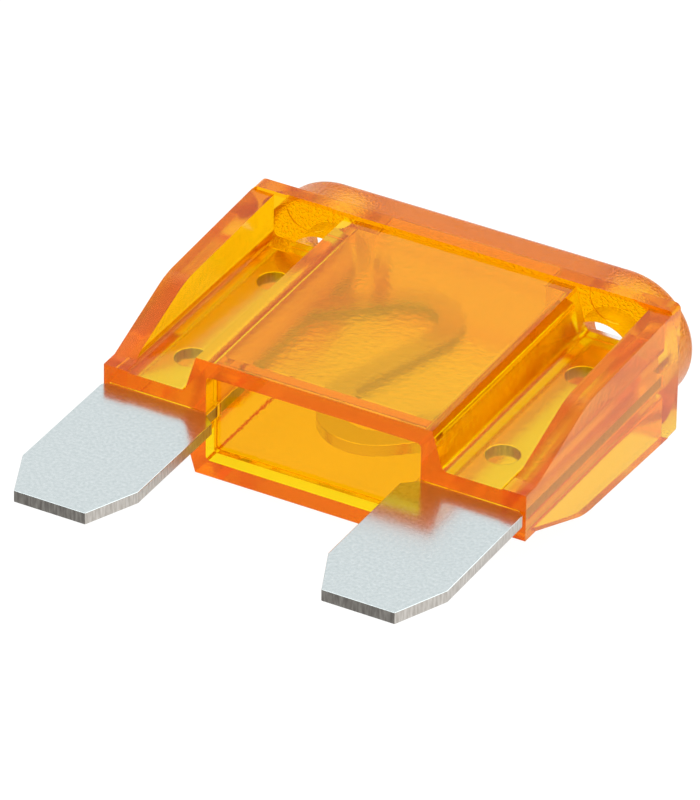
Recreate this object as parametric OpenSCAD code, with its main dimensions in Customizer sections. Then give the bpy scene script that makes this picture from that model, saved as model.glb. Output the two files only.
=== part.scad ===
// Heavy-duty automotive blade fuse: a stamped metal element in a transparent moulded housing.
// The fuse lies on its broad face. X runs across the two blades, Y from the blade tips to the
// cap, and Z through the thickness. The origin is under the middle of the whole fuse, on the
// surface it lies on.

/* [Blades] */
// Width of each blade
blade_w = 8; // [5:0.1:8.4]
// Thickness of the metal sheet
sheet_t = 0.8; // [0.5:0.05:1.2]
// Length of the blades in front of the housing
blade_len = 13.2; // [8:0.1:20]
// Distance between the centre lines of the two blades
blade_pitch = 20.9; // [20:0.1:21.2]
// Width lost at each corner of a blade's tip
tip_cut_w = 1.55; // [0.5:0.05:2.2]
// Length of the cut at each corner of a blade's tip
tip_cut_l = 3.6; // [1:0.1:6]
// Distance from the blades' shoulders to the flange
shoulder_gap = 0.7; // [0.3:0.05:1]
// Width of the tab on each shoulder, which ends in a probe hole
tab_w = 4; // [2:0.1:4.2]
// Width by which each blade's inner edge steps back before it enters the housing
blade_step = 0.7; // [0.2:0.05:0.95]
// Length of that step, which is slanted
blade_step_l = 0.6; // [0.1:0.05:0.6]
// Distance from the housing's front face to the start of the step
blade_step_y = 0.85; // [0.65:0.05:1.5]
// Width and radius of the round shoulder on each blade's outer edge, at the front face
blade_shoulder_r = 0.45; // [0.35:0.05:0.8]
// Diameter of the two locating holes in each blade, inside the housing
hole_d = 2.15; // [1.2:0.05:3]
// Distance of the locating holes from the fuse's centre line
hole_x = 10.7; // [10.4:0.1:11.2]
// Distance of the front locating holes from the housing's front face
hole_front_y = 4.1; // [2:0.1:6]
// Distance of the rear locating holes from the housing's front face
hole_rear_y = 14.25; // [9:0.1:15]

/* [Fuse link] */
// Width of the S-shaped link
link_w = 1.7; // [0.8:0.1:2]
// Bend radius of the link, on its centre line
link_r = 2.8; // [2.2:0.1:3]
// Distance along Y between the link's two bend centres
link_rise = 8.9; // [8.4:0.1:9.2]
// Sideways distance between the link's two bend centres
link_lean = 3; // [1:0.1:4]
// Slope of the two ends where the link runs into the blades
link_end_angle = 40; // [25:1:50]

/* [Housing length] */
// Length of the housing from its front face to the flange
body_len = 18.3; // [17:0.1:24]
// Thickness of the flange
flange_t = 1.1; // [0.8:0.1:2]
// Length of the cap behind the flange
cap_len = 2.6; // [2:0.1:4]

/* [Housing section] */
// Width of the flange
flange_w = 29.2; // [28.9:0.1:32]
// Height of the flange
flange_h = 9.3; // [9.1:0.1:11]
// Radius of the flange's corners
flange_corner_r = 0.4; // [0.2:0.1:1.5]
// Width of the housing across its front
front_w = 28.95; // [28.8:0.05:29.2]
// Height of the cap, which has fully round ends
cap_h = 9; // [7.6:0.1:9.2]
// Width of the cap
cap_w = 29; // [28:0.1:29.2]
// Radius of the cap's rear edge
cap_edge_r = 0.8; // [0.3:0.1:1.2]

/* [Window box] */
// Width of the box across its flat top
box_top_w = 16; // [15.4:0.1:17]
// Width of the box where it meets the wings
box_foot_w = 17.7; // [17.1:0.1:18.4]
// Height of the box at its front
box_front_h = 8.15; // [7.6:0.05:8.6]
// Height of the box at the flange
box_rear_h = 8.7; // [8.1:0.1:8.8]
// Width of the chamber inside the box
chamber_w = 14.7; // [14:0.1:15.2]
// Height of the chamber inside the box
chamber_h = 5.9; // [4:0.1:6.2]
// Radius of the chamber's long inner corners
chamber_corner_r = 0.3; // [0.1:0.05:0.6]
// Width of the chamber's pocket behind the flange, between the probe holes
pocket_w = 12; // [8:0.1:12.6]
// Wall left between the pocket and the cap's rear face
pocket_end_wall = 1.7; // [0.8:0.1:2]

/* [Wings] */
// Thickness of the wings that hold the blades
wing_t = 3; // [2:0.1:3.6]
// Thickness of the outer side walls
side_wall_t = 1.4; // [1:0.1:1.7]
// Height of the side walls at the front
nose_h = 3.2; // [3:0.1:4]
// Distance from the front face to the start of the side walls' slope
slope_start = 1.3; // [0.5:0.1:3]
// Distance from the front face to the end of the slope
slope_end = 7.5; // [5:0.1:10]
// Height of the side walls at the end of the slope
bend_h = 7.95; // [7:0.05:8.4]
// Radius of the bend at the end of the slope
bend_r = 6; // [2:0.5:12]
// Height of the side walls at the flange
wall_rear_h = 8.85; // [8.4:0.05:8.9]
// Radius of the fillets along the feet of the box and the side walls
foot_fillet_r = 0.45; // [0.2:0.05:0.8]

/* [Probe holes] */
// Diameter of the two test probe holes in the cap
probe_hole_d = 4.6; // [4.5:0.1:5]
// Distance between the two test probe holes
probe_pitch = 19.5; // [19:0.1:20]
// Depth from the cap's rear face to the metal in the probe holes
probe_depth = 1.7; // [1:0.1:2.5]

/* [Ejector marks] */
// Diameter of the ejector pins' marks on the flange
pin_mark_d = 3.3; // [2:0.1:3.6]
// Depth of the marks
pin_mark_depth = 0.08; // [0.04:0.01:0.15]
// Distance of the marks' centres from the fuse's centre line
pin_mark_x = 10.6; // [10.4:0.1:10.8]
// Height of the marks' centres above and below the housing's middle
pin_mark_z = 4.2; // [3.8:0.1:4.4]

/* [End plug] */
// Depth of the end plug's face below the housing's front face
plug_recess = 0.9; // [0.3:0.1:1]
// Thickness of the end plug
plug_t = 0.8; // [0.5:0.05:0.9]

/* [Fits] */
// Clearance between the metal sheet and the faces of its slot
slot_gap = 0.03; // [0.01:0.01:0.1]
// Clearance at the outer and inner edges of the blades
edge_gap = 0.05; // [0.02:0.01:0.15]
// Clearance around the end plug
plug_gap = 0.03; // [0.01:0.01:0.1]

/* [Hidden] */
$fn = 64;

// Places along Y, counted from the housing's front face
flange_y = body_len;
cap_y = flange_y + flange_t;
rear_y = cap_y + cap_len;
middle_y = (rear_y - blade_len) / 2;

// Edges of the right-hand blade, which the left-hand one mirrors
blade_in = (blade_pitch - blade_w) / 2;
blade_out = (blade_pitch + blade_w) / 2;
neck_in = blade_in + blade_step;
neck_out = blade_out - blade_shoulder_r;
shoulder_y = flange_y - shoulder_gap;
tab_end_y = rear_y - probe_depth;

// Inner side of a blade's slot, which always opens into the chamber
slot_in = min(neck_in, chamber_w / 2) - edge_gap;

// Centres of the link's two bends, either side of its own middle
link_mid_y = (plug_recess + plug_t + flange_y) / 2;
bend_up = [-link_lean / 2, link_mid_y + link_rise / 2];
bend_down = [link_lean / 2, link_mid_y - link_rise / 2];

// Angles round the upper bend at which it meets the straight stem and leaves for the blade
stem_angle = 90 - atan2(link_rise, link_lean) - asin(2 * link_r / norm([link_lean, link_rise]));
end_angle = 90 + link_end_angle;
link_steps = 24;
bend_steps = 6;

// Angle between a wing and the sloping side of the box
box_side_angle = 90 + atan2(box_foot_w - box_top_w, box_rear_h - wing_t);

// Length by which cuts run past the faces they open
over = 1;

// Moves a piece from the front face's middle to the whole fuse's origin
module seat() {
    translate([0, -middle_y, flange_h / 2]) children();
}

module both_sides() {
    children();
    mirror([1, 0, 0]) children();
}

module both_faces() {
    children();
    mirror([0, 0, 1]) children();
}

// A section drawn in X and Z, run along Y
module along_y(from, to) {
    translate([0, to, 0]) rotate([90, 0, 0]) linear_extrude(to - from) children();
}

// A section drawn in Y and Z, run across X
module across_x(from, to) {
    translate([from, 0, 0]) rotate([90, 0, 90]) linear_extrude(to - from) children();
}

function polar(r, angle) = r * [cos(angle), sin(angle)];

// Points along an arc about a centre
function arc(centre, r, from, to, steps) =
    [for (i = [0:steps]) centre + polar(r, from + (to - from) * i / steps)];

// A rectangle about the origin with round corners
module round_rect(w, h, r) {
    for (x = [-1, 1], y = [-1, 1])
        translate([x * (w / 2 - r), y * (h / 2 - r)]) circle(r);
    square([w - 2 * r, h], center = true);
    square([w, h - 2 * r], center = true);
}

// Housing

module window_box() {
    intersection() {
        along_y(0, flange_y)
            polygon([
                [box_foot_w / 2, wing_t / 2], [box_top_w / 2, box_rear_h / 2],
                [-box_top_w / 2, box_rear_h / 2], [-box_foot_w / 2, wing_t / 2],
                [-box_foot_w / 2, -wing_t / 2], [-box_top_w / 2, -box_rear_h / 2],
                [box_top_w / 2, -box_rear_h / 2], [box_foot_w / 2, -wing_t / 2]
            ]);
        across_x(-box_foot_w, box_foot_w)
            polygon([
                [0, -box_front_h / 2], [flange_y, -box_rear_h / 2],
                [flange_y, box_rear_h / 2], [0, box_front_h / 2]
            ]);
    }
}

module wings() {
    translate([-front_w / 2, 0, -wing_t / 2]) cube([front_w, flange_y, wing_t]);
}

// Side view of an outer wall: a low nose, a slope, a round bend and a wall that still grows
module side_view() {
    slope = atan2((bend_h - nose_h) / 2, slope_end - slope_start);
    rise = atan2((wall_rear_h - bend_h) / 2, flange_y - slope_end);
    reach = bend_r * tan((slope - rise) / 2);
    centre = [slope_end + reach * cos(rise), bend_h / 2 + reach * sin(rise)]
        + polar(bend_r, rise - 90);
    upper = concat(
        [[flange_y, wall_rear_h / 2]],
        arc(centre, bend_r, rise + 90, slope + 90, bend_steps),
        [[slope_start, nose_h / 2], [0, nose_h / 2]]
    );
    polygon(concat(upper, [for (i = [len(upper) - 1:-1:0]) [upper[i].x, -upper[i].y]]));
}

module side_wall() {
    intersection() {
        translate([0, 0, -flange_h / 2])
            linear_extrude(flange_h)
                polygon([
                    [front_w / 2 - side_wall_t, 0], [front_w / 2, 0],
                    [flange_w / 2, flange_y], [front_w / 2 - side_wall_t, flange_y]
                ]);
        across_x(0, flange_w) side_view();
    }
}

// Section of a fillet in the corner between a floor along X and a side that rises at an angle
module fillet_section(r, angle) {
    reach = r / tan(angle / 2);
    sink = r / 10;
    difference() {
        polygon([
            [-sink, -sink], [reach, -sink], [reach, r],
            [reach * cos(angle), reach * sin(angle)], [reach * cos(angle) - sink, reach * sin(angle)]
        ]);
        translate([reach, r]) circle(r);
    }
}

module box_fillet() {
    along_y(0, flange_y)
        translate([box_foot_w / 2, wing_t / 2]) fillet_section(foot_fillet_r, box_side_angle);
}

module wall_fillet() {
    intersection() {
        along_y(0, flange_y)
            translate([front_w / 2 - side_wall_t, wing_t / 2])
                mirror([1, 0]) fillet_section(foot_fillet_r, 90);
        across_x(0, flange_w) side_view();
    }
}

module flange() {
    along_y(flange_y, cap_y) round_rect(flange_w, flange_h, flange_corner_r);
}

// Half section of the cap's end, from its centre line out to its round rim
module cap_section() {
    square([cap_h / 2, cap_len - cap_edge_r]);
    square([cap_h / 2 - cap_edge_r, cap_len]);
    translate([cap_h / 2 - cap_edge_r, cap_len - cap_edge_r])
        intersection() {
            circle(cap_edge_r);
            square(cap_edge_r);
        }
}

module cap() {
    end_x = (cap_w - cap_h) / 2;
    for (side = [-1, 1])
        translate([side * end_x, cap_y, 0]) rotate([-90, 0, 0]) rotate_extrude() cap_section();
    across_x(-end_x, end_x)
        translate([cap_y, 0]) {
            rotate(-90) cap_section();
            rotate(-90) mirror([1, 0]) cap_section();
        }
}

// Chamber for the link, open at the front, with a narrower pocket behind the flange
module chamber() {
    along_y(-over, flange_y) round_rect(chamber_w, chamber_h, chamber_corner_r);
    along_y(flange_y - over, rear_y - pocket_end_wall)
        round_rect(pocket_w, chamber_h, chamber_corner_r);
}

// Slot in which one blade slides home, open at the front and towards the chamber
module blade_slot() {
    slot_h = sheet_t + 2 * slot_gap;
    translate([slot_in, -over, -slot_h / 2])
        cube([neck_out + edge_gap - slot_in, over + shoulder_y + edge_gap, slot_h]);
    translate([(probe_pitch - tab_w) / 2 - edge_gap, 0, -slot_h / 2])
        cube([tab_w + 2 * edge_gap, flange_y + over / 2, slot_h]);
}

module probe_hole() {
    translate([probe_pitch / 2, flange_y, 0])
        rotate([-90, 0, 0]) cylinder(h = flange_t + cap_len + over, d = probe_hole_d);
}

// Shallow round marks that the ejector pins leave on the flange, cut off by its edge
module pin_mark() {
    translate([pin_mark_x, flange_y + pin_mark_depth, pin_mark_z])
        rotate([90, 0, 0]) cylinder(h = pin_mark_depth + over, d = pin_mark_d);
}

module housing() {
    color("orange")
        seat()
            difference() {
                union() {
                    window_box();
                    wings();
                    both_sides() side_wall();
                    both_sides() both_faces() box_fillet();
                    both_sides() both_faces() wall_fillet();
                    flange();
                    cap();
                }
                chamber();
                both_sides() blade_slot();
                both_sides() probe_hole();
                both_sides() both_faces() pin_mark();
            }
}

// Fuse element, one flat stamping

// Where a side of the link, leaving a bend at an angle, reaches a blade's inner edge
function link_foot(centre, r, angle, x) =
    let (leaving = centre + polar(r, angle), run = (x - leaving.x) / cos(angle + 90))
    leaving + polar(run, angle + 90);

// Right blade, from its inner step round its tip to its inner shoulder
function blade_side() = concat(
    [
        [neck_in, blade_step_l - blade_step_y],
        [blade_in, -blade_step_y],
        [blade_in, tip_cut_l - blade_len],
        [blade_in + tip_cut_w, -blade_len],
        [blade_out - tip_cut_w, -blade_len],
        [blade_out, tip_cut_l - blade_len]
    ],
    arc([neck_out, -edge_gap - blade_shoulder_r], blade_shoulder_r, 0, 90, bend_steps),
    [
        [neck_out, shoulder_y],
        [(probe_pitch + tab_w) / 2, shoulder_y],
        [(probe_pitch + tab_w) / 2, tab_end_y],
        [(probe_pitch - tab_w) / 2, tab_end_y],
        [(probe_pitch - tab_w) / 2, shoulder_y],
        [neck_in, shoulder_y]
    ]
);

// Upper side of the S, from the right blade round both bends to the left blade
function link_side() = concat(
    [link_foot(bend_down, link_r - link_w / 2, end_angle + 180, neck_in)],
    arc(bend_down, link_r - link_w / 2, end_angle + 180, stem_angle + 180, link_steps),
    arc(bend_up, link_r + link_w / 2, stem_angle, end_angle, link_steps),
    [link_foot(bend_up, link_r + link_w / 2, end_angle, -neck_in)]
);

// The left blade is the right one mirrored, and the S is the same when turned half round
module element_outline() {
    blade = blade_side();
    link = link_side();
    polygon(concat(
        blade,
        link,
        [for (i = [len(blade) - 1:-1:0]) [-blade[i].x, blade[i].y]],
        [for (point = link) [0, 2 * link_mid_y] - point]
    ));
}

module locating_holes() {
    for (y = [hole_front_y, hole_rear_y])
        translate([hole_x, y]) circle(d = hole_d);
}

module fuse_element() {
    color("lightsteelblue")
        seat()
            linear_extrude(sheet_t, center = true)
                difference() {
                    element_outline();
                    both_sides() locating_holes();
                }
}

// End plug that closes the chamber, with a notch at each end for the blades' inner edges

module end_plug() {
    notch_h = sheet_t + 4 * plug_gap;
    color("darkorange")
        seat()
            difference() {
                along_y(plug_recess, plug_recess + plug_t)
                    round_rect(chamber_w - 2 * plug_gap, chamber_h - 2 * plug_gap, chamber_corner_r);
                both_sides()
                    translate([slot_in, 0, -notch_h / 2])
                        cube([chamber_w, plug_recess + plug_t + over, notch_h]);
            }
}

housing();
fuse_element();
end_plug();
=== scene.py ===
# %% [markdown]
# # A heavy-duty blade fuse in transparent amber plastic
#
# The fuse has three pieces: a moulded housing, one flat metal stamping that runs through it, and a
# plug that closes the housing's mouth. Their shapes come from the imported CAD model. This lesson
# gives them what a moulding tool and a press leave behind: softened edges, clear coloured plastic
# that bends light, a grained cap, and satin plated metal with dull cut edges.
#
# The model is loaded as a fixed frame, in metres. Every finished piece stays at the origin, so
# patterns and masks can be written in the frame's own coordinates.

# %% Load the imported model
import math

import bmesh
import bpy
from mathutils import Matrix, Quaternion, Vector


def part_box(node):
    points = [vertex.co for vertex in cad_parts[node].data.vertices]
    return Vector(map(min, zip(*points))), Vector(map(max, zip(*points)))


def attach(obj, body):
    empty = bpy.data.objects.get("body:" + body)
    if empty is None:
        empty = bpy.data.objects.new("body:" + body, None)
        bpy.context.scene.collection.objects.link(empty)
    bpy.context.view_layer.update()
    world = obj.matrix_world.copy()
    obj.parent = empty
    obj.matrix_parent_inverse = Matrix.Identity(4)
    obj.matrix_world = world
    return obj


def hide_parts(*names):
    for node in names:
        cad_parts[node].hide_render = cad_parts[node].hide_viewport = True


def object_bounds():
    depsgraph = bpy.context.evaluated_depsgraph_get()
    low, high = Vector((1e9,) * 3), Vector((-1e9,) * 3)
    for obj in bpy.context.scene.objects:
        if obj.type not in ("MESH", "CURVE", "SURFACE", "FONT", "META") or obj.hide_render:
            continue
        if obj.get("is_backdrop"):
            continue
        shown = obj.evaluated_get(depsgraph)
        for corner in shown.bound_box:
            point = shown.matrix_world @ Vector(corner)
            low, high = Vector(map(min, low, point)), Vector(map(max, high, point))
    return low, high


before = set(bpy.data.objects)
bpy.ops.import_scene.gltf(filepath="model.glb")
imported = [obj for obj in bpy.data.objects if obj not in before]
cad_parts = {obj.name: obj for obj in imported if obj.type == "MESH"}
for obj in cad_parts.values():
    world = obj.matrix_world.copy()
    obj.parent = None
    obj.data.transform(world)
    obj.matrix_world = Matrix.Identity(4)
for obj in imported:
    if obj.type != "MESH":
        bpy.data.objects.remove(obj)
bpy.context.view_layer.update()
mm = 0.001
print("nodes:", ", ".join(sorted(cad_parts)))

# %% [markdown]
# ## The camera
#
# A product photograph like this one is taken from far away with a long lens, so parallel edges stay
# nearly parallel. A camera is fully described by the point that it looks at, the direction and
# distance from there, a small tilt, and the lens. Writing it as angles round the object keeps the
# values readable, where a matrix would hide them.

# %% Camera
IMAGE_HEIGHT_PX = 800
SENSOR = 36
FOCAL_PX = 9026
AIM = Vector((0.95, -1.57, 7.08)) * mm
AZIMUTH = math.radians(28.64)
ELEVATION = math.radians(32.48)
ROLL = math.radians(0.95)
DISTANCE = 540.1 * mm
NEAREST, FARTHEST = 0.1, 20

towards_camera = Vector((
    math.cos(ELEVATION) * math.sin(AZIMUTH),
    -math.cos(ELEVATION) * math.cos(AZIMUTH),
    math.sin(ELEVATION),
))
camera_data = bpy.data.cameras.new("camera")
camera_data.sensor_width = SENSOR
camera_data.lens = SENSOR * FOCAL_PX / IMAGE_HEIGHT_PX
camera_data.clip_start = NEAREST
camera_data.clip_end = FARTHEST
camera = bpy.data.objects.new("camera", camera_data)
camera.location = AIM + towards_camera * DISTANCE
level = (-towards_camera).to_track_quat("-Z", "Y")
camera.rotation_euler = (level @ Quaternion((0, 0, 1), ROLL)).to_euler()
bpy.context.collection.objects.link(camera)
bpy.context.scene.camera = camera
print("lens:", round(camera_data.lens, 1), "mm from", round(DISTANCE, 3), "m")

# %% [markdown]
# ## Small helpers for materials
#
# Every finish below is a node tree. The first helpers add a node with its sockets set, wire two
# sockets, and end the tree in its output, so that the code of each finish reads as a short recipe.

# %% Nodes and wires


def new_material(name):
    material = bpy.data.materials.new(name)
    material.use_nodes = True
    tree = material.node_tree
    tree.nodes.clear()
    return material, tree


def add_node(tree, kind, settings=None, **sockets):
    node = tree.nodes.new(kind)
    for key, value in (settings or {}).items():
        setattr(node, key, value)
    for key, value in sockets.items():
        node.inputs[key.replace("_", " ")].default_value = value
    return node


def wire(tree, source, target):
    tree.links.new(target, source)


def to_output(tree, surface, volume=None):
    output = add_node(tree, "ShaderNodeOutputMaterial")
    wire(tree, surface.outputs[0], output.inputs["Surface"])
    if volume:
        wire(tree, volume.outputs[0], output.inputs["Volume"])


print("nodes and wires ready")

# %% [markdown]
# The next helpers work with numbers on the surface. A pattern is noise on the piece's own
# coordinates, so it keeps its size in millimetres and stays on the piece. A mask is a number too: 1
# where a point lies in some zone, 0 elsewhere, with a narrow blur between them.

# %% Patterns and masks


def own_place(tree):
    """A point's coordinates on its piece."""
    return add_node(tree, "ShaderNodeTexCoord").outputs["Object"]


def axes_of(tree, place):
    """The X, Y and Z of a place."""
    axes = add_node(tree, "ShaderNodeSeparateXYZ")
    wire(tree, place, axes.inputs[0])
    return axes.outputs


def fine_noise(tree, coordinates, size, detail=2.0, roughness=0.5):
    """Noise whose features are about size metres across."""
    noise = add_node(tree, "ShaderNodeTexNoise", Scale=1 / size, Detail=detail, Roughness=roughness)
    wire(tree, coordinates, noise.inputs["Vector"])
    return noise.outputs["Fac"]


def ramp_between(tree, value, low, high, to_low=0.0, to_high=1.0):
    """Maps value from low..high smoothly to to_low..to_high."""
    ramp = add_node(tree, "ShaderNodeMapRange", {"interpolation_type": "SMOOTHSTEP"})
    ramp.inputs["From Min"].default_value = low
    ramp.inputs["From Max"].default_value = high
    ramp.inputs["To Min"].default_value = to_low
    ramp.inputs["To Max"].default_value = to_high
    wire(tree, value, ramp.inputs["Value"])
    return ramp.outputs["Result"]


def combine(tree, operation, a, b=0.0):
    """One step of arithmetic, on plain numbers or on sockets."""
    node = add_node(tree, "ShaderNodeMath", {"operation": operation})
    for socket, value in zip(node.inputs, (a, b)):
        if isinstance(value, float):
            socket.default_value = value
        else:
            wire(tree, value, socket)
    return node.outputs[0]


def nearer_than(tree, value, middle, reach, blur):
    """1 where value lies within reach of middle, fading to 0 over the blur outside it."""
    offset = combine(tree, "ABSOLUTE", combine(tree, "SUBTRACT", value, middle))
    return ramp_between(tree, offset, reach, reach + blur, 1.0, 0.0)


print("patterns and masks ready")

# %% [markdown]
# The last helpers turn those numbers into looks: a colour that a mask chooses, a colour that runs
# with a pattern, and relief. Relief here is a bump, because it is far finer than any mesh.

# %% Colours and relief


def where(tree, mask, over, under):
    """The colour over where the mask is 1, and under where it is 0."""
    mix = add_node(tree, "ShaderNodeMix", {"data_type": "RGBA"})
    wire(tree, mask, mix.inputs[0])
    for socket, colour in ((mix.inputs["B"], over), (mix.inputs["A"], under)):
        if isinstance(colour, tuple):
            socket.default_value = (*colour, 1)
        else:
            wire(tree, colour, socket)
    return mix.outputs["Result"]


def colour_run(tree, value, *stops):
    """A colour that runs from the first stop to the second; a stop is a value and its colour."""
    run = add_node(tree, "ShaderNodeValToRGB")
    for element, (position, colour) in zip(run.color_ramp.elements, stops):
        element.position = position
        element.color = (*colour, 1)
    wire(tree, value, run.inputs[0])
    return run.outputs[0]


def relief(tree, height, distance, strength, over=None):
    """A bump as deep as distance, held back by a number or a mask, on top of another one."""
    bump = add_node(tree, "ShaderNodeBump", Distance=distance)
    wire(tree, height, bump.inputs["Height"])
    if isinstance(strength, float):
        bump.inputs["Strength"].default_value = strength
    else:
        wire(tree, strength, bump.inputs["Strength"])
    if over:
        wire(tree, over, bump.inputs["Normal"])
    return bump.outputs[0]


print("colours and relief ready")

# %% [markdown]
# ## Where each finish of the housing lies
#
# A mould is polished in one place and textured in another, so one moulding shows several finishes.
# The chamber's walls are lightly frosted, the cap is grained, and the side walls, the rims and the
# wings' broad faces are satin. The mesh could be split into groups of faces with a material each,
# but a closed body of clear plastic needs one material for its inside. So there is one material
# here, and masks from a point's own X, Y and Z choose its finish. Their borders are measured from
# the boxes of the housing and of the plug, which fills the chamber's mouth.

# %% Borders between the finishes
housing_low, housing_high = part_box("housing")
plug_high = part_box("end_plug")[1]
CAP_LENGTH, FLANGE_THICKNESS, POCKET_WALL = 2.6 * mm, 1.1 * mm, 1.7 * mm
FRONT_Y, REAR_Y = housing_low.y, housing_high.y
FLANGE_BACK_Y = REAR_Y - CAP_LENGTH
FLANGE_FRONT_Y = FLANGE_BACK_Y - FLANGE_THICKNESS
POCKET_END_Y = REAR_Y - POCKET_WALL
PLUG_BACK_Y = plug_high.y
BEYOND_Y = 1.0
MIDDLE_Z = housing_high.z / 2
OPENING_HALF_WIDTH = plug_high.x + 0.08 * mm
OPENING_HALF_HEIGHT = plug_high.z - MIDDLE_Z + 0.06 * mm
SIDE_WALL_X = 12.8 * mm
RIM_FROM, RIM_TO = 4.36 * mm, 4.40 * mm
WING_HALF_THICKNESS, WING_MARGIN = 1.5 * mm, 0.08 * mm
MARGIN = 0.1 * mm
BLUR = 0.05 * mm
print("chamber length in mm:", round((POCKET_END_Y - PLUG_BACK_Y) / mm, 2))

# %% Where on the housing a point lies


def from_to(tree, value, low, high):
    return nearer_than(tree, value, (low + high) / 2, (high - low) / 2, BLUR)


def housing_places(tree, x, y, z):
    """Masks for the parts of the housing that have a finish of their own."""
    opening = combine(
        tree,
        "MULTIPLY",
        nearer_than(tree, x, 0.0, OPENING_HALF_WIDTH, BLUR),
        nearer_than(tree, z, MIDDLE_Z, OPENING_HALF_HEIGHT, BLUR),
    )

    def in_opening(low, high):
        return combine(tree, "MULTIPLY", opening, from_to(tree, y, low, high))

    inside = in_opening(FRONT_Y + MARGIN, POCKET_END_Y + MARGIN)
    chamber = in_opening(PLUG_BACK_Y + MARGIN, POCKET_END_Y + MARGIN)
    outside = combine(tree, "SUBTRACT", 1.0, inside)

    def outside_from(low):
        return combine(tree, "MULTIPLY", outside, from_to(tree, y, low, BEYOND_Y))

    flange_on = outside_from(FLANGE_FRONT_Y - BLUR)
    cap = outside_from(FLANGE_BACK_Y + 2 * BLUR)
    side = combine(tree, "SUBTRACT", 1.0, nearer_than(tree, x, 0.0, SIDE_WALL_X, BLUR))
    height = combine(tree, "ABSOLUTE", combine(tree, "SUBTRACT", z, MIDDLE_Z))
    rim = ramp_between(tree, height, RIM_FROM, RIM_TO)
    on_wing = nearer_than(tree, height, WING_HALF_THICKNESS, WING_MARGIN, BLUR)
    wing = combine(tree, "MULTIPLY", outside, on_wing)
    return inside, chamber, combine(tree, "MAXIMUM", flange_on, side), cap, side, rim, wing


print("zones: inside, chamber, outer, cap, side, rim, wing")

# %% [markdown]
# ## The amber plastic
#
# Clear coloured plastic gets its colour from its depth: a thin wall is pale amber, and a long way
# through is a deep orange. A colour on the surface alone would make a thick edge as pale as a
# window. So absorption inside the volume takes away blue quickly, green slowly and red hardly at
# all, and each thickness finds its own colour. The surface adds a tint each time that light crosses
# it, lightest on the body, deeper in the chamber, and deepest on the flange, the cap and the sides,
# because thin walls would be too pale without it.
#
# A smooth surface also reflects the white room, and that lays a pale veil over the colour. An
# orange tint on the reflection keeps the veil thin.
#
# Relief and roughness make the rest. The cap has a fine grain with speckles of the deeper tint. The
# other faces have a faint ripple, which is strongest on the frosted walls of the chamber, where it
# softens the view of the metal link.

# %% Colours and finish of the plastic
ABSORPTION_PER_M = (1.0, 55.0, 1800.0)
absorption_density = max(ABSORPTION_PER_M)
REFRACTIVE_INDEX = 1.55
REFLECTION_TINT = (1.0, 0.5, 0.1, 1)
BODY_TINT, INNER_TINT = (1.0, 0.83, 0.15), (1.0, 0.68, 0.12)
OUTER_TINT, OUTER_TINT_DEEP = (1.0, 0.58, 0.07), (1.0, 0.40, 0.03)
POLISHED, FROSTED, SATIN = 0.05, 0.19, 0.14
GRAIN_SIZE, GRAIN_DEPTH = 0.2 * mm, 0.1 * mm
SPECKLE_FROM, SPECKLE_TO = 0.42, 0.58
RIPPLE_SIZE, RIPPLE_DEPTH = 0.45 * mm, 0.02 * mm
RIPPLE_ON_POLISHED = 0.3
print("absorption per metre:", ABSORPTION_PER_M)

# %% Amber plastic


def plastic_relief(tree, grain, ripple, chamber, cap):
    """The grain of the cap, and on top of it the ripple that every face has."""
    ripple_strength = ramp_between(tree, chamber, 0.0, 1.0, RIPPLE_ON_POLISHED, 1.0)
    grained = relief(tree, grain, GRAIN_DEPTH, cap)
    return relief(tree, ripple, RIPPLE_DEPTH, ripple_strength, over=grained)


def plastic_roughness(tree, chamber, *satin_faces):
    satin = satin_faces[0]
    for faces in satin_faces[1:]:
        satin = combine(tree, "MAXIMUM", satin, faces)
    frosted = ramp_between(tree, chamber, 0.0, 1.0, POLISHED, FROSTED)
    return combine(tree, "MAXIMUM", frosted, combine(tree, "MULTIPLY", satin, SATIN))


def amber_plastic():
    material, tree = new_material("clear amber plastic")
    place = own_place(tree)
    inside, chamber, outer, cap, side, rim, wing = housing_places(tree, *axes_of(tree, place))
    grain = fine_noise(tree, place, GRAIN_SIZE, detail=3.0, roughness=0.6)
    ripple = fine_noise(tree, place, RIPPLE_SIZE)
    speckles = combine(tree, "MULTIPLY", cap, ramp_between(tree, grain, SPECKLE_FROM, SPECKLE_TO))
    deep = combine(tree, "MAXIMUM", speckles, rim)
    outer_tint = where(tree, deep, OUTER_TINT_DEEP, OUTER_TINT)
    tint = where(tree, outer, outer_tint, where(tree, inside, INNER_TINT, BODY_TINT))
    surface = add_node(
        tree,
        "ShaderNodeBsdfPrincipled",
        Specular_Tint=REFLECTION_TINT,
        IOR=REFRACTIVE_INDEX,
        Transmission_Weight=1.0,
    )
    roughness = plastic_roughness(tree, chamber, side, cap, rim, wing)
    wire(tree, tint, surface.inputs["Base Color"])
    wire(tree, roughness, surface.inputs["Roughness"])
    wire(tree, plastic_relief(tree, grain, ripple, chamber, cap), surface.inputs["Normal"])
    depth = add_node(
        tree,
        "ShaderNodeVolumeAbsorption",
        Color=(*[1 - a / absorption_density for a in ABSORPTION_PER_M], 1),
        Density=absorption_density,
    )
    to_output(tree, surface, depth)
    return material


amber = amber_plastic()
print("plastic:", amber.name)
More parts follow.
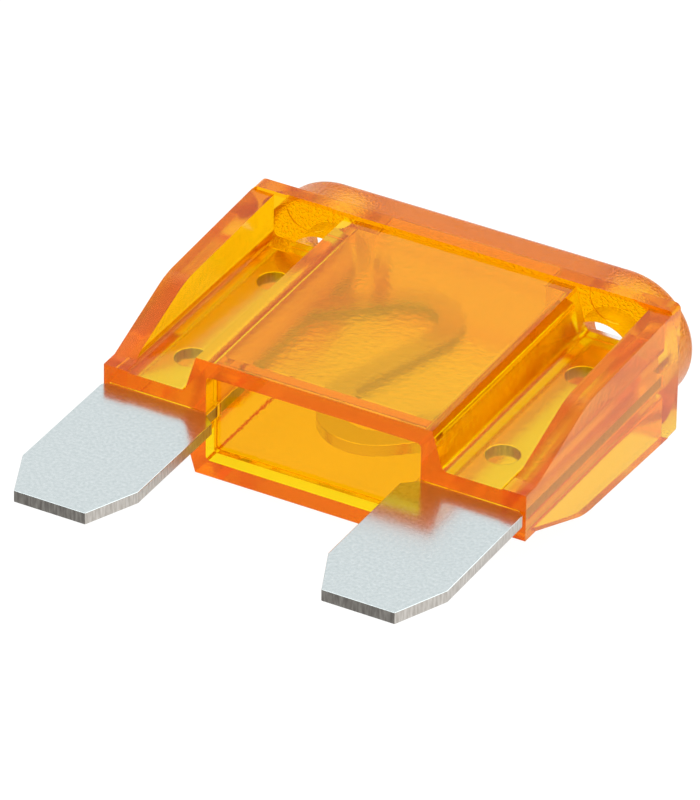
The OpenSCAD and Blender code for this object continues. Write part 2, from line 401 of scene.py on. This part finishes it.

# %% [markdown]
# ## The plated metal
#
# The stamping is zinc with a satin plating. Its broad faces are rolled: very fine grain, with faint
# blotches where the plating is a little rougher. A mirror with noise in its normal would sparkle, so
# most of the satin look comes from roughness, and the bump stays very low.
#
# The plastic takes its share of light twice, on the way in and on the way out. The metal is
# therefore painted brighter where it lies in the housing, as painted light that makes up for that
# loss, or it would turn brown. The link in the chamber is painted darker than the blades, as
# painted shade, so a mask gives it a colour of its own.

# %% Plated metal
PLATING_DULL, PLATING_BRIGHT = (0.56, 0.63, 0.64), (0.67, 0.73, 0.74)
# Painted light: the plating inside the housing is painted brighter, making up for the light that the
# plastic takes.
PLATING_PAINTED_LIGHT_IN_PLASTIC = (0.93, 0.94, 0.94)
# Painted shade: the link in the chamber is painted darker than the blades.
LINK_PAINTED_SHADE = (0.80, 0.78, 0.74)
BLOTCH_SIZE, BLOTCH_FROM, BLOTCH_TO = 0.22 * mm, 0.3, 0.7
PLATING_ROUGHNESS = (0.16, 0.21)
ROLLED_GRAIN_SIZE, ROLLED_GRAIN_DEPTH, ROLLED_GRAIN_SHARE = 0.12 * mm, 0.01 * mm, 0.25
ENTRY_BLUR = 0.3 * mm
LINK_REACH, LINK_BLUR = 6.8 * mm, 0.6 * mm


def plated_metal():
    material, tree = new_material("satin plated metal")
    place = own_place(tree)
    x, y, _ = axes_of(tree, place)
    blotches = fine_noise(tree, place, BLOTCH_SIZE, detail=3.0, roughness=0.6)
    grain = fine_noise(tree, place, ROLLED_GRAIN_SIZE, detail=3.0, roughness=0.6)
    plating = colour_run(tree, blotches, (BLOTCH_FROM, PLATING_DULL), (BLOTCH_TO, PLATING_BRIGHT))
    in_plastic = ramp_between(tree, y, FRONT_Y - ENTRY_BLUR, FRONT_Y)
    across_link = nearer_than(tree, x, 0.0, LINK_REACH, LINK_BLUR)
    link = combine(tree, "MULTIPLY", in_plastic, across_link)
    # The link takes the painted shade, and the rest of the metal in the plastic takes the painted
    # light.
    colour = where(tree, link, LINK_PAINTED_SHADE, where(tree, in_plastic, PLATING_PAINTED_LIGHT_IN_PLASTIC, plating))
    roughness = ramp_between(tree, blotches, BLOTCH_FROM, BLOTCH_TO, *PLATING_ROUGHNESS)
    surface = add_node(tree, "ShaderNodeBsdfPrincipled", Metallic=1.0)
    wire(tree, colour, surface.inputs["Base Color"])
    wire(tree, roughness, surface.inputs["Roughness"])
    rolled = relief(tree, grain, ROLLED_GRAIN_DEPTH, ROLLED_GRAIN_SHARE)
    wire(tree, rolled, surface.inputs["Normal"])
    to_output(tree, surface)
    return material


metal = plated_metal()
print("metal:", metal.name)

# %% [markdown]
# ## Sheared edges
#
# The press shears the outline out of the sheet. A sheared edge is burnished near one face and torn
# near the other, in streaks that run through the thickness, and it is darker and rougher than the
# plating. It could be painted over the plating by a mask, but an edge is a face of its own in the
# mesh, so a material of its own is simpler. The short edges at the blades' tips face forward and are
# painted darker than the long ones, as a painted dark reflection of what stands in front of them,
# so the same recipe is used with two pairs of colours.

# %% Sheared edges
TORN_SIDE, BURNISHED_SIDE = (0.46, 0.43, 0.39), (0.66, 0.63, 0.59)
# Painted dark reflection: the tip colours are darker than the side ones because the tips face darker
# surroundings in front.
TORN_TIP_PAINTED_DARK, BURNISHED_TIP_PAINTED_DARK = (0.13, 0.12, 0.11), (0.24, 0.23, 0.21)
TORN_UP_TO, BURNISHED_FROM = 0.35, 0.7
STREAK_SIZE, STREAK_DEPTH, STREAK_SHARE = 0.14 * mm, 0.02 * mm, 0.4
STREAK_STRETCH = (1, 1, 0.15)
CUT_ROUGHNESS = 0.4


def sheared_edge(name, torn, burnished):
    """Cut metal whose colour runs from torn to burnished in streaks across the sheet."""
    material, tree = new_material(name)
    streaks = add_node(tree, "ShaderNodeMapping", Scale=STREAK_STRETCH)
    wire(tree, own_place(tree), streaks.inputs["Vector"])
    drag = fine_noise(tree, streaks.outputs[0], STREAK_SIZE, detail=3.0)
    colour = colour_run(tree, drag, (TORN_UP_TO, torn), (BURNISHED_FROM, burnished))
    surface = add_node(tree, "ShaderNodeBsdfPrincipled", Metallic=1.0, Roughness=CUT_ROUGHNESS)
    wire(tree, colour, surface.inputs["Base Color"])
    wire(tree, relief(tree, drag, STREAK_DEPTH, STREAK_SHARE), surface.inputs["Normal"])
    to_output(tree, surface)
    return material


side_edge = sheared_edge("sheared side edge", TORN_SIDE, BURNISHED_SIDE)
tip_edge_painted_dark = sheared_edge("sheared tip edge painted dark", TORN_TIP_PAINTED_DARK, BURNISHED_TIP_PAINTED_DARK)
print("cut edges:", side_edge.name, "and", tip_edge_painted_dark.name)

# %% [markdown]
# ## Softened edges
#
# No moulding has a knife edge, and the thin bright line along each edge is what makes it look real.
# The CAD solids keep sharp edges so that the pieces fit. A bevel on a copy of the mesh gives each
# edge its tiny round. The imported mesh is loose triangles, so its corners are merged first, and flat
# areas are dissolved into single faces, or the bevel would also work on lines that aren't edges.

# %% Copy a node with softened edges
MERGE_WITHIN = 0.002 * mm
FLAT_WITHIN = math.radians(0.5)
EDGE_FROM = math.radians(25)
SHADE_SHARP_FROM = math.radians(12)


def softened(node_name, piece_name, radius):
    """A copy of a CAD node with merged corners, clean faces and a small round on each edge."""
    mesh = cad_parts[node_name].data.copy()
    mesh.name = piece_name
    work = bmesh.new()
    work.from_mesh(mesh)
    bmesh.ops.remove_doubles(work, verts=work.verts, dist=MERGE_WITHIN)
    bmesh.ops.dissolve_limit(work, angle_limit=FLAT_WITHIN, verts=work.verts, edges=work.edges)
    bmesh.ops.bevel(
        work,
        geom=[e for e in work.edges if e.is_manifold and e.calc_face_angle() > EDGE_FROM],
        affect="EDGES",
        offset=radius,
        segments=2,
        profile=0.5,
        material=-1,
        clamp_overlap=True,
    )
    open_edges = sum(1 for e in work.edges if not e.is_manifold)
    work.to_mesh(mesh)
    work.free()
    mesh.materials.clear()
    mesh.shade_smooth()
    mesh.set_sharp_from_angle(angle=SHADE_SHARP_FROM)
    piece = bpy.data.objects.new(piece_name, mesh)
    bpy.context.collection.objects.link(piece)
    print(piece_name, "faces:", len(mesh.polygons), "open edges:", open_edges)
    return piece


# %% [markdown]
# ## The three pieces
#
# The housing and the plug take the plastic. On the stamping, the broad faces take the plating, and
# the faces that stand upright are cut edges, painted darker at the blades' tips as a painted dark
# reflection. The sides of the link's front part take the plating as well: seen through the frosted
# wall, a darker edge there would look like a shadow. Nothing on a fuse moves, so all three pieces
# ride on its one body, and each stands for the node that it was copied from.

# %% Housing, plug and stamping
housing = softened("housing", "housing_moulding", radius=0.07 * mm)
housing.data.materials.append(amber)
plug = softened("end_plug", "mouth_plug", radius=0.05 * mm)
plug.data.materials.append(amber)
stamping = softened("fuse_element", "blade_stamping", radius=0.05 * mm)
for finish in (metal, side_edge, tip_edge_painted_dark):
    stamping.data.materials.append(finish)

# %% Finish of each face of the stamping
PLATED, SIDE_CUT, TIP_CUT_PAINTED_DARK = 0, 1, 2
BROAD_FROM = 0.9
TIPS_BEFORE_Y = FRONT_Y - 10 * mm
TIP_FACES_FRONT = -0.65
LINK_FROM, LINK_TO = 1.5 * mm, 9 * mm
LINK_HALF_WIDTH = 7 * mm


def finish_of(face):
    if abs(face.normal.z) >= BROAD_FROM:
        return PLATED
    # Painted dark reflection: the forward faces at the tips get the darker cut edge.
    if face.center.y < TIPS_BEFORE_Y and face.normal.y < TIP_FACES_FRONT:
        return TIP_CUT_PAINTED_DARK
    behind_front = face.center.y - FRONT_Y
    if LINK_FROM < behind_front < LINK_TO and abs(face.center.x) < LINK_HALF_WIDTH:
        return PLATED
    return SIDE_CUT


for face in stamping.data.polygons:
    face.material_index = finish_of(face)
finishes = [face.material_index for face in stamping.data.polygons]
print("plated, side and tip faces:", [finishes.count(i) for i in (PLATED, SIDE_CUT, TIP_CUT_PAINTED_DARK)])

# %% Put the pieces in the place of their nodes
for piece, node in ((housing, "housing"), (plug, "end_plug"), (stamping, "fuse_element")):
    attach(piece, "root")
    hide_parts(node)
    print(piece.name, "stands for", node)

# %% [markdown]
# ## The floor
#
# The ground is pure white, with the fuse's soft shadow on it. Lamps strong enough to make white
# paint that bright would burn out the object. So the floor glows a little, for the camera, for
# reflections and for what is seen through the plastic, and its dim paint takes the rest of the
# white from the light that falls on it. Where the fuse blocks that light, the shadow stays.

# %% Floor
FLOOR_GLOW = 0.97
FLOOR_PAINT = 0.15
FLOOR_SIZE = 6.0
WHITE = (1, 1, 1, 1)


def looked_at(tree):
    """1 for the rays that carry a view of the surroundings to the camera, and 0 for the others."""
    light = add_node(tree, "ShaderNodeLightPath")
    seen = light.outputs["Is Camera Ray"]
    for name in ("Is Glossy Ray", "Is Transmission Ray"):
        seen = combine(tree, "MAXIMUM", seen, light.outputs[name])
    return seen


def floor_material():
    material, tree = new_material("white sweep")
    glow = add_node(tree, "ShaderNodeEmission", Color=WHITE)
    wire(tree, combine(tree, "MULTIPLY", looked_at(tree), FLOOR_GLOW), glow.inputs["Strength"])
    paint = add_node(tree, "ShaderNodeBsdfDiffuse", Color=(*[FLOOR_PAINT] * 3, 1))
    both = add_node(tree, "ShaderNodeAddShader")
    wire(tree, glow.outputs[0], both.inputs[0])
    wire(tree, paint.outputs[0], both.inputs[1])
    to_output(tree, both)
    return material


floor_mesh = bpy.data.meshes.new("floor")
plane = bmesh.new()
bmesh.ops.create_grid(plane, x_segments=1, y_segments=1, size=FLOOR_SIZE / 2)
plane.to_mesh(floor_mesh)
plane.free()
floor_mesh.materials.append(floor_material())
floor = bpy.data.objects.new("floor", floor_mesh)
bpy.context.collection.objects.link(floor)
floor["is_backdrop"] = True
print("floor:", FLOOR_SIZE, "m square")

# %% [markdown]
# ## Lamps and surroundings
#
# A wide softbox hangs above and behind the fuse, and a weaker one stands at its left. Their size
# keeps the shadow soft and the highlights broad, where small lamps would leave hard glints. The
# surroundings give the rest. They are white for the rays that show them, and dimmer for the rays
# that only light the object, so the background is clean and the colours stay as they are written.

# %% Lamps and surroundings
ROOM_LIGHT, ROOM_SEEN = 0.6, 1.0


def soft_lamp(name, place, size, power):
    lamp = bpy.data.lights.new(name, "AREA")
    lamp.shape = "RECTANGLE"
    lamp.size, lamp.size_y = size
    lamp.energy = power
    holder = bpy.data.objects.new(name, lamp)
    holder.location = place
    holder.rotation_euler = (AIM - Vector(place)).to_track_quat("-Z", "Y").to_euler()
    bpy.context.collection.objects.link(holder)
    print(name, power, "W")


def surroundings():
    world = bpy.data.worlds.new("studio")
    world.use_nodes = True
    tree = world.node_tree
    tree.nodes.clear()
    strength = ramp_between(tree, looked_at(tree), 0.0, 1.0, ROOM_LIGHT, ROOM_SEEN)
    glow = add_node(tree, "ShaderNodeBackground", Color=WHITE)
    wire(tree, strength, glow.inputs["Strength"])
    output = add_node(tree, "ShaderNodeOutputWorld")
    wire(tree, glow.outputs[0], output.inputs["Surface"])
    return world


bpy.context.scene.world = surroundings()
soft_lamp("overhead softbox", place=(-0.1, 0.35, 0.7), size=(0.8, 0.5), power=1.4)
soft_lamp("left softbox", place=(-0.7, -0.2, 0.45), size=(0.5, 0.5), power=0.8)
bpy.context.scene.view_settings.view_transform = "Standard"

# %% [markdown]
# ## Light paths through the plastic
#
# A ray that enters the box crosses up to eight walls before it leaves, and it may be thrown back on
# the way. Where the renderer stops too early, the plastic turns black, so it is allowed more
# bounces than that.

# %% Bounces
BOUNCES = 24
cycles = bpy.context.scene.cycles
cycles.max_bounces = BOUNCES
cycles.transmission_bounces = BOUNCES
cycles.glossy_bounces = BOUNCES
print("bounces:", BOUNCES)

# %% [markdown]
# ## The last check of the sizes
#
# Softening an edge only takes material away, so the dressed fuse has to fill the same box as the
# CAD model. The dressed fuse's box is printed.

# %% Write the sizes and finish
lowest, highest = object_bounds()
print("dressed size in mm:", [round(s / mm, 2) for s in highest - lowest])
